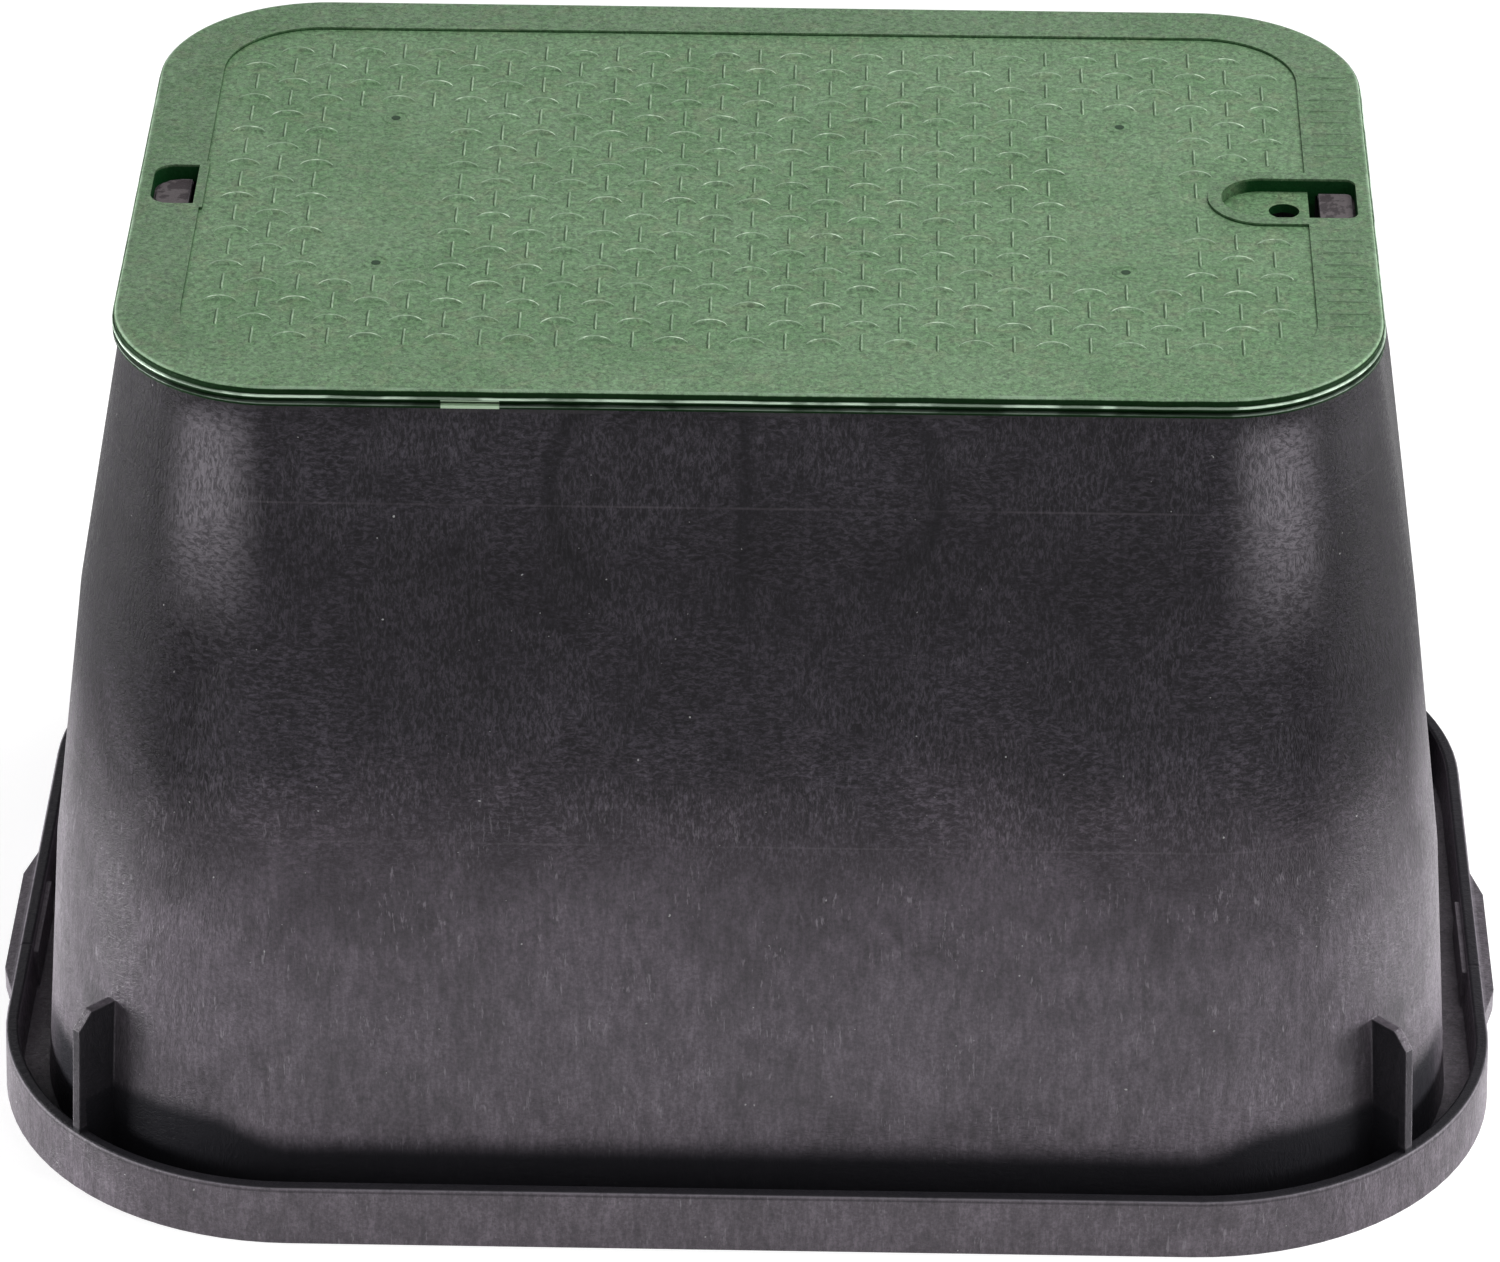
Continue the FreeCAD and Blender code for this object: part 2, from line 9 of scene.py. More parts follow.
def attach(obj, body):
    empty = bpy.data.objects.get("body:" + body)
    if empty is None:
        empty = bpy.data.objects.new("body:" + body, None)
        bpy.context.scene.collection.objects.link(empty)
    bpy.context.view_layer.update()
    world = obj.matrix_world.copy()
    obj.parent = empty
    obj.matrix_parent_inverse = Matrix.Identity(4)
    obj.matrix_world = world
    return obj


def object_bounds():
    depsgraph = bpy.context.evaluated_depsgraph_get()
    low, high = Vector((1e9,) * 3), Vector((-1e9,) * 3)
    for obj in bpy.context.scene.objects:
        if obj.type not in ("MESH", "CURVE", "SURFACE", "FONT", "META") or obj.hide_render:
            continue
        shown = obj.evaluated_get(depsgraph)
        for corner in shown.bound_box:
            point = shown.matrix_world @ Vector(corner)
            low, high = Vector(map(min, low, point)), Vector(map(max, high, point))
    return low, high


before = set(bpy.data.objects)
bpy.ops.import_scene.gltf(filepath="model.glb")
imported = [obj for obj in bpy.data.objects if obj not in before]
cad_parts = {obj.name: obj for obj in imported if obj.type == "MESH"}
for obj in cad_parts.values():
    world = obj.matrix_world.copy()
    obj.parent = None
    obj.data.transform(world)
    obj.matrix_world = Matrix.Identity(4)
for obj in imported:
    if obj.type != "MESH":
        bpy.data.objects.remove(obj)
cad_low, cad_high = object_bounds()

# Camera: pixels of the photograph, metres and degrees
PHOTO_WIDTH = 1500
SENSOR_WIDTH = 36.0
FOCAL_PIXELS = 7367.1
CAMERA_PLACE = Vector((0.048233, -2.333245, 1.546120))
CAMERA_YAW = 1.2079
CAMERA_PITCH = 31.1343
CAMERA_ROLL = 0.1817

# Corner axes of the box, which the body and the lid both turn about
CORNER_X = 0.161
CORNER_Y = 0.089

# Tread on the sunk panel of the lid, in metres, as in the CAD source
LID_HALF_X = 0.221
LID_HALF_Y = 0.149
LID_CORNER = 0.060
LID_TOP = 0.320
PANEL_TOP = 0.3189
PITCH_X = 0.01316
PITCH_Y = 0.01284
TREAD_INSET = 0.034
FIELD_X = 0.1316
FIELD_HALF_X = 0.018
FIELD_HALF_Y = 0.062
POCKET_CENTRE_X = 0.1815
POCKET_COLLAR = 0.0196
ARC_POCKET_GAP = 0.0065
BAR_POCKET_GAP = 0.0045

# Smooth forms laid over the plain ridges of the CAD tread
ARC_HALF_CHORD = 0.0060
ARC_OUTER_RISE = 0.0034
ARC_INNER_RISE = 0.0010
ARC_MARGIN = 0.0002
ARC_HEIGHT = 0.00105
ARC_CREST_RISE = 0.0024
ARC_CREST_TOP = 0.0011
ARC_STATIONS = 12
ARC_PROFILE = ((0.0, -0.1), (0.10, 0.55), (0.26, 0.95), (0.42, 1.0), (0.65, 0.74), (0.85, 0.36), (1.0, -0.1))
BAR_HALF_LENGTH = 0.0056
BAR_HALF_WIDTH = 0.00082
BAR_HEIGHT = 0.00090
BAR_PROFILE = ((-1.0, -0.1), (-0.6, 0.55), (-0.25, 0.93), (0.25, 0.93), (0.6, 0.55), (1.0, -0.1))
BAR_STATIONS = (
    (-1.0, 0.0), (-0.96, 0.5), (-0.87, 0.86), (-0.7, 1.0),
    (0.7, 1.0), (0.87, 0.86), (0.96, 0.5), (1.0, 0.0),
)

# Round moulding marks in the bare fields
PIN_Y = 0.0555
PIN_RING_RADIUS = 0.0044
PIN_RING_HALF = 0.0007
PIN_RING_HEIGHT = 0.0004
PIN_RING_PROFILE = ((-1.0, -0.1), (-0.5, 0.8), (0.0, 1.0), (0.5, 0.8), (1.0, -0.1))
PIN_DOT_RADIUS = 0.0017
PIN_SEGMENTS = 40

# Wall of the body: blacks by share of the height, with painted light that makes them darker above
# and paler below, the two fine parting lines, the rounded flow lines by their middles and half
# sizes, and the pale band and seat at the top
WALL_BLACKS_AND_PAINTED_LIGHT = (
    (0.02, (0.103, 0.088, 0.105)),
    (0.16, (0.086, 0.074, 0.089)),
    (0.32, (0.083, 0.071, 0.086)),
    (0.48, (0.048, 0.041, 0.050)),
    (0.60, (0.027, 0.024, 0.030)),
    (0.80, (0.018, 0.016, 0.020)),
    (0.95, (0.027, 0.0245, 0.030)),
)
SCRIBE_LINES = (0.152, 0.2775)
EAR_X = 0.034
EAR_HALF_X = 0.031
EAR_Z = 0.283
EAR_HALF_Z = 0.036
PALE_BAND = 0.3118
SEAT_LEVEL = 0.3128
GUSSET_TOP = 0.072
EDGE_RADIUS = 0.0010
BODY_SHINE = 0.25

# Top of the lid: reach of its crevices' shadow, the x range in which the pocket's round end is lit,
# the y range in which the border darkens, and the height of the grip bars
CREVICE = 0.006
LIT_END_FROM = (0.10, 0.12)
LIT_END_TO = (0.180, 0.178)
BORDER_FADE_Y = (-0.145, -0.090)
GRIP_HEIGHT = 0.0005
LID_SHINE = 0.35

# Heights on the edge of the lid: the land under its top, and its two beads; and its pale patch
LID_LAND = 0.3194
UPPER_BEAD = 0.3170
LOWER_BEAD = 0.3143
PATCH_X = -0.0935
PATCH_HALF = 0.0098

# Rim of the foot: height of its top, and its inner side from the corner axes
RIM_TOP = 0.0235
RIM_INNER = 0.1064

# Floor and studio: half size, grey, and the light that only the seen floor and background have
FLOOR_HALF = 8.0
FLOOR_GREY = 0.62
FLOOR_GLOW = 0.58
STUDIO_LIGHT = 0.38

# Lamps: name, place, target, width, height, power
LAMPS = (
    ("top_lamp", (0.8, 0.0, 1.9), (0, 0, 0.2), 1.2, 1.2, 24),
    ("front_lamp", (0.2, -2.0, 2.2), (0, 0, 0.2), 1.6, 1.6, 7),
    ("left_box", (-1.25, -0.12, 0.17), (0, 0, 0.15), 0.9, 0.26, 21),
    ("right_box", (1.25, -0.12, 0.17), (0, 0, 0.15), 0.9, 0.26, 17),
)


def new_material(name):
    """Empty node material with a shader and an output."""
    material = bpy.data.materials.new(name)
    material.use_nodes = True
    tree = material.node_tree
    tree.nodes.clear()
    shader = tree.nodes.new("ShaderNodeBsdfPrincipled")
    output = tree.nodes.new("ShaderNodeOutputMaterial")
    tree.links.new(shader.outputs["BSDF"], output.inputs["Surface"])
    return material, tree, shader


def feed(tree, socket, value):
    """Link a socket to an input, or set the input to a plain value."""
    if isinstance(value, bpy.types.NodeSocket):
        tree.links.new(value, socket)
    elif isinstance(value, tuple) and len(value) == 3 and len(socket.default_value) == 4:
        socket.default_value = (*value, 1)
    else:
        socket.default_value = value


def calc(tree, operation, first, second=0.0, third=0.0):
    """Math node on sockets or numbers."""
    node = tree.nodes.new("ShaderNodeMath")
    node.operation = operation
    for socket, value in zip(node.inputs, (first, second, third)):
        feed(tree, socket, value)
    return node.outputs["Value"]


def spread(tree, value, low, high, start=0.0, end=1.0):
    """Smooth step of a value from one range to another."""
    node = tree.nodes.new("ShaderNodeMapRange")
    node.interpolation_type = "SMOOTHSTEP"
    for name, number in (("From Min", low), ("From Max", high), ("To Min", start), ("To Max", end)):
        node.inputs[name].default_value = number
    tree.links.new(value, node.inputs["Value"])
    return node.outputs["Result"]


def band(tree, value, middle, half, soft):
    """1 within a half width of a middle value, falling softly to 0 outside it."""
    away = calc(tree, "ABSOLUTE", calc(tree, "SUBTRACT", value, middle))
    return spread(tree, away, half, half + soft, 1.0, 0.0)


def ramp(tree, source, stops):
    """Colour ramp fed by a socket; stops are (position, colour)."""
    node = tree.nodes.new("ShaderNodeValToRGB")
    elements = node.color_ramp.elements
    while len(elements) < len(stops):
        elements.new(0.5)
    for element, (at, colour) in zip(elements, stops):
        element.position = at
        element.color = (*colour, 1)
    tree.links.new(source, node.inputs["Fac"])
    return node.outputs["Color"]


def grey(value):
    """Grey colour of one level."""
    return (value, value, value)


def mix(tree, factor, first, second, mode="MIX"):
    """Mix two colours by a factor; each may be a socket or a plain value."""
    node = tree.nodes.new("ShaderNodeMix")
    node.data_type = "RGBA"
    node.blend_type = mode
    feed(tree, node.inputs[0], factor)
    feed(tree, node.inputs[6], first)
    feed(tree, node.inputs[7], second)
    return node.outputs[2]


def place(tree):
    """Object coordinates as a vector and as x, y and z."""
    coords = tree.nodes.new("ShaderNodeTexCoord")
    split = tree.nodes.new("ShaderNodeSeparateXYZ")
    tree.links.new(coords.outputs["Object"], split.inputs["Vector"])
    return coords.outputs["Object"], split.outputs["X"], split.outputs["Y"], split.outputs["Z"]


def noise(tree, vector, size, detail=4.0, rough=0.55, distort=0.0, stretch=(1, 1, 1)):
    """Noise whose features are about a size in metres."""
    mapping = tree.nodes.new("ShaderNodeMapping")
    mapping.inputs["Scale"].default_value = stretch
    tree.links.new(vector, mapping.inputs["Vector"])
    node = tree.nodes.new("ShaderNodeTexNoise")
    node.inputs["Scale"].default_value = 1 / size
    node.inputs["Detail"].default_value = detail
    node.inputs["Roughness"].default_value = rough
    node.inputs["Distortion"].default_value = distort
    tree.links.new(mapping.outputs["Vector"], node.inputs["Vector"])
    return node.outputs["Fac"]


def soft_edges(tree, radius):
    """Normal rounded at the edges, and how far a point is up such an edge, from 0 to 1."""
    bevel = tree.nodes.new("ShaderNodeBevel")
    bevel.samples = 3
    bevel.inputs["Radius"].default_value = radius
    geometry = tree.nodes.new("ShaderNodeNewGeometry")
    dot = tree.nodes.new("ShaderNodeVectorMath")
    dot.operation = "DOT_PRODUCT"
    tree.links.new(bevel.outputs["Normal"], dot.inputs[0])
    tree.links.new(geometry.outputs["Normal"], dot.inputs[1])
    return bevel.outputs["Normal"], spread(tree, dot.outputs["Value"], 0.99, 0.80)


def openness(tree, distance):
    """Share of the sky above a point that is open within a distance."""
    node = tree.nodes.new("ShaderNodeAmbientOcclusion")
    node.samples = 4
    node.inputs["Distance"].default_value = distance
    return node.outputs["AO"]


def bump(tree, shader, height, depth, normal=None):
    """Bump of a depth in metres, over a normal where one is given."""
    node = tree.nodes.new("ShaderNodeBump")
    node.inputs["Distance"].default_value = depth
    tree.links.new(height, node.inputs["Height"])
    if normal:
        tree.links.new(normal, node.inputs["Normal"])
    tree.links.new(node.outputs["Normal"], shader.inputs["Normal"])


def times(tree, *factors):
    """Product of sockets and numbers."""
    product = factors[0]
    for factor in factors[1:]:
        product = calc(tree, "MULTIPLY", product, factor)
    return product


def opposite(tree, value):
    """1 less a value."""
    return calc(tree, "SUBTRACT", 1.0, value)


def shade_by(tree, colour, source, stops):
    """Multiply a colour by grey levels read off a noise; stops are (position, level)."""
    return mix(tree, 1.0, colour, ramp(tree, source, [(at, grey(level)) for at, level in stops]), "MULTIPLY")


def corner_reach(tree, x, y):
    """How far a point is past the corner axes, along x, along y and in all."""
    past = []
    for value, axis in ((x, CORNER_X), (y, CORNER_Y)):
        past.append(calc(tree, "MAXIMUM", calc(tree, "SUBTRACT", calc(tree, "ABSOLUTE", value), axis), 0.0))
    squares = [calc(tree, "POWER", value, 2.0) for value in past]
    return past[0], past[1], calc(tree, "SQRT", calc(tree, "ADD", *squares))


def surface_normal(tree):
    """The x, y and z parts of the surface normal."""
    geometry = tree.nodes.new("ShaderNodeNewGeometry")
    split = tree.nodes.new("ShaderNodeSeparateXYZ")
    tree.links.new(geometry.outputs["Normal"], split.inputs["Vector"])
    return split.outputs["X"], split.outputs["Y"], split.outputs["Z"]


def mottled_green(tree, vector):
    """Colour of the green plastic with its mottle and flecks, and the grain for its bump."""
    broad = noise(tree, vector, 0.05, 4, 0.6, 0.6)
    colour = ramp(tree, broad, [(0.38, (0.112, 0.212, 0.104)), (0.62, (0.142, 0.244, 0.132))])
    warm = spread(tree, noise(tree, vector, 0.012, 4, 0.65, 1.2), 0.50, 0.66, 0.0, 0.45)
    colour = mix(tree, warm, colour, (0.172, 0.222, 0.130))
    grain = noise(tree, vector, 0.0018, 4, 0.75, 0.8)
    colour = shade_by(tree, colour, grain, [(0.37, 0.56), (0.5, 0.99), (0.63, 1.50)])
    swirl = noise(tree, vector, 0.005, 4, 0.7, 3.0)
    colour = shade_by(tree, colour, swirl, [(0.40, 0.92), (0.60, 1.08)])
    flecks = noise(tree, vector, 0.0013, 3, 0.8, 0.4)
    colour = mix(tree, spread(tree, flecks, 0.58, 0.70, 0.0, 0.6), colour, (0.34, 0.47, 0.31))
    return colour, calc(tree, "ADD", grain, times(tree, swirl, 0.6))


def lid_hollow_shade(tree, colour, x, z, reach, normal_x, normal_z):
    """Painted shade in the crevices and on the walls of the pockets; the round end of the bolt pocket stays
    lit.
    """
    # Painted shade in the crevices: the less open to the sky, the darker
    shade = ramp(tree, openness(tree, CREVICE), [
        (0.12, (0.02, 0.11, 0.03)),
        (0.42, (0.40, 0.56, 0.40)),
        (0.66, grey(1.0)),
    ])
    colour = mix(tree, 1.0, colour, shade, "MULTIPLY")
    upright = spread(tree, calc(tree, "ABSOLUTE", normal_z), 0.75, 0.35)
    lit_end = times(
        tree,
        spread(tree, normal_x, 0.25, 0.75),
        spread(tree, x, *LIT_END_FROM),
        spread(tree, x, *LIT_END_TO),
    )
    inside_edge = spread(tree, reach, LID_CORNER - 0.003, LID_CORNER - 0.005)
    below_top = spread(tree, z, LID_TOP - 0.0002, LID_TOP - 0.0012)
    # Painted shade on the upright walls of the pockets
    pocket = times(tree, upright, opposite(tree, lit_end), inside_edge, below_top, 0.95)
    return mix(tree, pocket, colour, (0.004, 0.045, 0.011)), pocket


def lid_border(tree, colour, y, z, normal_y):
    """Darken the border towards the back, with painted shade on the front-facing flanks and a painted
    highlight on the tops of its grip bars.
    """
    on_border = spread(tree, z, PANEL_TOP + 0.0003, LID_TOP - 0.0003)
    border = times(tree, on_border, spread(tree, y, *BORDER_FADE_Y), 0.17)
    colour = mix(tree, border, colour, (0.010, 0.022, 0.010))
    # Painted shade on the flanks of the grip bars that face the front
    on_bar = spread(tree, z, LID_TOP + 0.00004, LID_TOP + 0.00012)
    flank_shade = times(tree, on_bar, spread(tree, normal_y, -0.10, -0.30))
    colour = mix(tree, times(tree, flank_shade, 0.65), colour, (0.045, 0.092, 0.042))
    # Painted highlight along the tops of the grip bars
    bar_top = LID_TOP + GRIP_HEIGHT
    top_highlight = spread(tree, z, bar_top - 0.00016, bar_top - 0.00006)
    return mix(tree, times(tree, top_highlight, 0.38), colour, (0.27, 0.40, 0.26))


def lid_edge(tree, vector, colour, x, y, z, reach):
    """Painted shade on the edge of the lid, with painted highlights on its beads and lip, and the parts of
    it that stay dull.
    """
    rim = spread(tree, reach, LID_CORNER - 0.0030, LID_CORNER - 0.0018)
    waver = calc(tree, "SUBTRACT", noise(tree, vector, 0.03, 3, 0.6), 0.5)
    level = calc(tree, "ADD", z, times(tree, waver, 0.0006))
    # Painted shade on the grooved edge below the land
    dark = times(tree, rim, spread(tree, level, LID_LAND + 0.0002, LID_LAND - 0.0002), 0.97)
    colour = mix(tree, dark, colour, (0.001, 0.014, 0.002))
    # Painted highlights along the two beads, broken up by a gleam
    gleam = spread(tree, noise(tree, vector, 0.02, 3, 0.6), 0.42, 0.60, 0.35, 1.0)
    upper = times(tree, band(tree, level, UPPER_BEAD, 0.00022, 0.00030), rim, gleam)
    colour = mix(tree, upper, colour, (0.62, 0.80, 0.63))
    lower = times(tree, band(tree, level, LOWER_BEAD, 0.00015, 0.00030), rim, gleam, 0.8)
    colour = mix(tree, lower, colour, (0.17, 0.23, 0.18))
    # Painted highlight along the lip at the top of the edge
    above_land = spread(tree, z, LID_LAND, LID_LAND + 0.0002)
    lip = times(tree, band(tree, reach, LID_CORNER - 0.0014, 0.0003, 0.0006), above_land, gleam)
    colour = mix(tree, times(tree, lip, 0.5), colour, (0.34, 0.48, 0.34))
    patch = times(
        tree,
        band(tree, x, PATCH_X, PATCH_HALF, 0.0004),
        spread(tree, y, -0.1475, -0.1480),
        spread(tree, z, 0.3166, 0.3162),
    )
    colour = mix(tree, times(tree, patch, 0.8), colour, (0.55, 0.74, 0.52))
    dull = calc(tree, "SUBTRACT", dark, calc(tree, "MAXIMUM", upper, lower))
    return colour, dull, patch


def lid_plastic():
    """Mottled green plastic, with painted shade in its pockets and in the grooves of its edge, and painted
    highlights on its beads.
    """
    material, tree, shader = new_material("green_lid_plastic")
    vector, x, y, z = place(tree)
    reach = corner_reach(tree, x, y)[2]
    normal_x, normal_y, normal_z = surface_normal(tree)
    colour, grain = mottled_green(tree, vector)
    colour, pocket = lid_hollow_shade(tree, colour, x, z, reach, normal_x, normal_z)
    colour = lid_border(tree, colour, y, z, normal_y)
    colour, dull, patch = lid_edge(tree, vector, colour, x, y, z, reach)
    tree.links.new(colour, shader.inputs["Base Color"])
    rough = spread(tree, noise(tree, vector, 0.003, 4, 0.7), 0.40, 0.62, 0.34, 0.62)
    tree.links.new(rough, shader.inputs["Roughness"])
    hidden = calc(tree, "MINIMUM", calc(tree, "MAXIMUM", pocket, dull), opposite(tree, patch))
    shine = spread(tree, hidden, 0.2, 0.8, LID_SHINE, 0.03)
    shader.inputs["Specular IOR Level"].default_value = LID_SHINE
    tree.links.new(shine, shader.inputs["Specular IOR Level"])
    bump(tree, shader, grain, 0.00030)
    return material


def arc_crest(tree, across, y, waver):
    """Crest line of the half-moons, where their painted highlight goes, from the place within one cell of
    the tread.
    """
    along = calc(tree, "SUBTRACT", calc(tree, "WRAP", y, PITCH_Y, 0.0), PITCH_Y / 2)
    bow = calc(tree, "POWER", calc(tree, "ABSOLUTE", calc(tree, "DIVIDE", across, ARC_HALF_CHORD)), 2.0)
    away = calc(tree, "ADD", along, times(tree, bow, ARC_CREST_RISE))
    away = calc(tree, "ADD", away, times(tree, waver, 0.0008))
    return band(tree, away, ARC_CREST_TOP, 0.00028, 0.00035)


def tread_plastic(is_arc):
    """Green of the raised tread, with a painted highlight along the crests, where it is also shinier, and
    painted shade on one side of each bar.
    """
    material, tree, shader = new_material("arc_plastic_painted_highlight" if is_arc else "bar_plastic_painted_light")
    vector, x, y, _ = place(tree)
    colour, grain = mottled_green(tree, vector)
    waver = calc(tree, "SUBTRACT", noise(tree, vector, 0.0035, 3, 0.6), 0.5)
    across = calc(tree, "WRAP", x, PITCH_X / 2, -PITCH_X / 2)
    if is_arc:
        crest_highlight = arc_crest(tree, across, y, waver)
        dull, bright = (0.30, 0.44, 0.29), (0.72, 0.90, 0.68)
    else:
        across = calc(tree, "ADD", across, times(tree, waver, 0.0006))
        # Painted shade on the left side of each bar
        flank_shade = band(tree, across, -0.00075, 0.00035, 0.0003)
        colour = mix(tree, times(tree, flank_shade, 0.7), colour, (0.040, 0.086, 0.036))
        crest_highlight = times(tree, band(tree, across, 0.00015, 0.00012, 0.00024), 0.85)
        dull, bright = (0.26, 0.39, 0.25), (0.46, 0.62, 0.42)
    # Painted highlight along the crests, with glints
    glint = spread(tree, noise(tree, vector, 0.0045, 2, 0.5), 0.50, 0.62)
    colour = mix(tree, times(tree, crest_highlight, 0.9), colour, mix(tree, glint, dull, bright))
    tree.links.new(colour, shader.inputs["Base Color"])
    tree.links.new(spread(tree, crest_highlight, 0.0, 1.0, 0.55, 0.30), shader.inputs["Roughness"])
    shader.inputs["Specular IOR Level"].default_value = 0.45
    bump(tree, shader, grain, 0.00020)
    return material


def dark_dimple():
    """Shadowed green plastic for the pinholes."""
    material, tree, shader = new_material("dark_green_dimple")
    vector = place(tree)[0]
    speckle = noise(tree, vector, 0.001, 2)
    colour = ramp(tree, speckle, [(0.3, (0.004, 0.022, 0.006)), (0.7, (0.010, 0.045, 0.014))])
    tree.links.new(colour, shader.inputs["Base Color"])
    shader.inputs["Roughness"].default_value = 0.7
    return material


def leathery_black(tree, vector, z):
    """Black of the walls: dark and leathery above, paler below as painted light, and streaked and scuffed
    below.
    """
    wander = calc(tree, "SUBTRACT", noise(tree, vector, 0.05, 4, 0.6, 0.5), 0.5)
    height = calc(tree, "DIVIDE", calc(tree, "ADD", z, times(tree, wander, 0.09)), cad_high.z)
    # Painted light by height: darker above, paler towards the foot
    colour = ramp(tree, height, WALL_BLACKS_AND_PAINTED_LIGHT)
    lower = spread(tree, z, 0.175, 0.120)
    upright_strokes = noise(tree, vector, 0.0012, 3, 0.75, 0.6, (1.0, 1.0, 0.34))
    flat_strokes = noise(tree, vector, 0.0012, 3, 0.75, 0.6, (0.42, 0.6, 0.9))
    lie = spread(tree, noise(tree, vector, 0.045, 1, 0.6, 0.8), 0.42, 0.58)
    laid = times(tree, flat_strokes, opposite(tree, lie))
    leather = calc(tree, "ADD", times(tree, upright_strokes, lie), laid)
    leather_shade = ramp(tree, leather, [(0.39, grey(0.48)), (0.5, grey(0.92)), (0.61, grey(1.95))])
    streak = noise(tree, vector, 0.0030, 4, 0.75, 0.3, (1.0, 1.0, 0.25))
    streak_shade = ramp(tree, streak, [(0.36, grey(0.72)), (0.5, grey(0.98)), (0.64, grey(1.32))])
    colour = mix(tree, 1.0, colour, mix(tree, lower, leather_shade, streak_shade), "MULTIPLY")
    grain = noise(tree, vector, 0.0014, 3, 0.7)
    colour = shade_by(tree, colour, grain, [(0.38, 0.78), (0.62, 1.24)])
    broad = noise(tree, vector, 0.04, 3, 0.65, 1.0)
    colour = shade_by(tree, colour, broad, [(0.38, 0.84), (0.62, 1.18)])
    scuff = spread(tree, noise(tree, vector, 0.0012, 3, 0.65, 0.0, (1.0, 1.0, 0.16)), 0.575, 0.68)
    cluster = spread(tree, noise(tree, vector, 0.018, 3, 0.6), 0.48, 0.60)
    scuff = times(tree, scuff, cluster, spread(tree, z, 0.21, 0.12), 0.55)
    colour = mix(tree, scuff, colour, (0.27, 0.25, 0.28))
    specks = spread(tree, noise(tree, vector, 0.0022, 1, 0.5), 0.79, 0.83)
    colour = mix(tree, times(tree, specks, 0.8), colour, grey(0.45))
    return colour, leather, streak, broad


def flow_lines(tree, x, z, past_x):
    """Weld line down the middle of a long wall, and the rounded flow line on each side of it."""
    on_side = spread(tree, past_x, 0.012, 0.0)
    weld = times(tree, band(tree, x, 0.0, 0.0004, 0.0035), spread(tree, z, 0.20, 0.27))
    ear_x = calc(tree, "DIVIDE", calc(tree, "SUBTRACT", calc(tree, "ABSOLUTE", x), EAR_X), EAR_HALF_X)
    ear_z = calc(tree, "DIVIDE", calc(tree, "SUBTRACT", z, EAR_Z), EAR_HALF_Z)
    ear_squared = calc(tree, "ADD", calc(tree, "POWER", ear_x, 2.0), calc(tree, "POWER", ear_z, 2.0))
    ear = calc(tree, "SQRT", ear_squared)
    ear_line = times(tree, band(tree, ear, 1.06, 0.02, 0.14), spread(tree, ear_x, 0.1, 0.7))
    return times(tree, calc(tree, "MAXIMUM", weld, ear_line), on_side)


def wall_colour(tree, vector, x, z, past_x):
    """Black of the walls with its flow and parting lines, and the paler seat at the top."""
    colour, leather, streak, broad = leathery_black(tree, vector, z)
    flow = times(tree, flow_lines(tree, x, z, past_x), spread(tree, broad, 0.36, 0.60, 0.30, 0.62))
    colour = mix(tree, flow, colour, (0.004, 0.004, 0.005))
    line = calc(tree, "MAXIMUM", *[band(tree, z, at, 0.00015, 0.0004) for at in SCRIBE_LINES])
    breaks = spread(tree, noise(tree, vector, 0.06, 3, 0.6), 0.40, 0.58, 0.35, 1.0)
    colour = mix(tree, times(tree, line, breaks, 0.17), colour, (0.17, 0.15, 0.17))
    pale_top = times(tree, band(tree, z, PALE_BAND, 0.0008, 0.0008), spread(tree, broad, 0.40, 0.58))
    colour = mix(tree, times(tree, pale_top, 0.6), colour, (0.050, 0.047, 0.051))
    blotch = spread(tree, noise(tree, vector, 0.006, 3, 0.6), 0.45, 0.52)
    seat = mix(tree, blotch, (0.055, 0.046, 0.050), (0.118, 0.103, 0.108))
    colour = mix(tree, spread(tree, z, SEAT_LEVEL, SEAT_LEVEL + 0.0004), colour, seat)
    return colour, leather, streak


def corner_light(tree, colour, z, past_x, reach, leather):
    """Painted shade on the ends and corners, with a mottled painted sheen at the top of each corner."""
    turned = calc(tree, "DIVIDE", past_x, calc(tree, "MAXIMUM", reach, 0.001))
    above = spread(tree, z, 0.105, 0.19, 0.24, 0.54)
    on_wall = spread(tree, z, SEAT_LEVEL + 0.0001, SEAT_LEVEL - 0.0002)
    shaded = times(tree, spread(tree, turned, 0.12, 0.50), above, on_wall)
    lit_low = times(tree, spread(tree, turned, 0.90, 0.98), spread(tree, z, 0.20, 0.14))
    shaded = times(tree, shaded, opposite(tree, lit_low))
    # Painted shade on the turned ends and corners, but not low on the ends
    colour = mix(tree, shaded, colour, (0.004, 0.0035, 0.004))
    # Painted sheen: a mottled highlight high on each corner
    high = times(tree, spread(tree, z, 0.215, 0.275), spread(tree, z, 0.314, 0.300))
    sheen = times(tree, band(tree, turned, 0.34, 0.04, 0.28), high)
    sheen = times(tree, sheen, spread(tree, leather, 0.40, 0.60, 0.40, 1.0))
    return mix(tree, times(tree, sheen, 0.92), colour, (0.155, 0.143, 0.160)), shaded


def gusset_plate(tree, z, corner, edge):
    """1 on the flat faces of the corner gussets, which take painted shade."""
    normal_x, normal_y, normal_z = surface_normal(tree)
    diagonal = calc(tree, "ABSOLUTE", calc(tree, "MULTIPLY", normal_x, normal_y))
    flat = spread(tree, calc(tree, "ABSOLUTE", normal_z), 0.10, 0.04)
    plate = times(tree, spread(tree, diagonal, 0.44, 0.47), corner, flat)
    plate = times(tree, plate, opposite(tree, times(tree, edge, 0.9)))
    above_rim = spread(tree, z, RIM_TOP - 0.002, RIM_TOP + 0.004)
    return times(tree, plate, spread(tree, z, GUSSET_TOP + 0.002, GUSSET_TOP), above_rim)


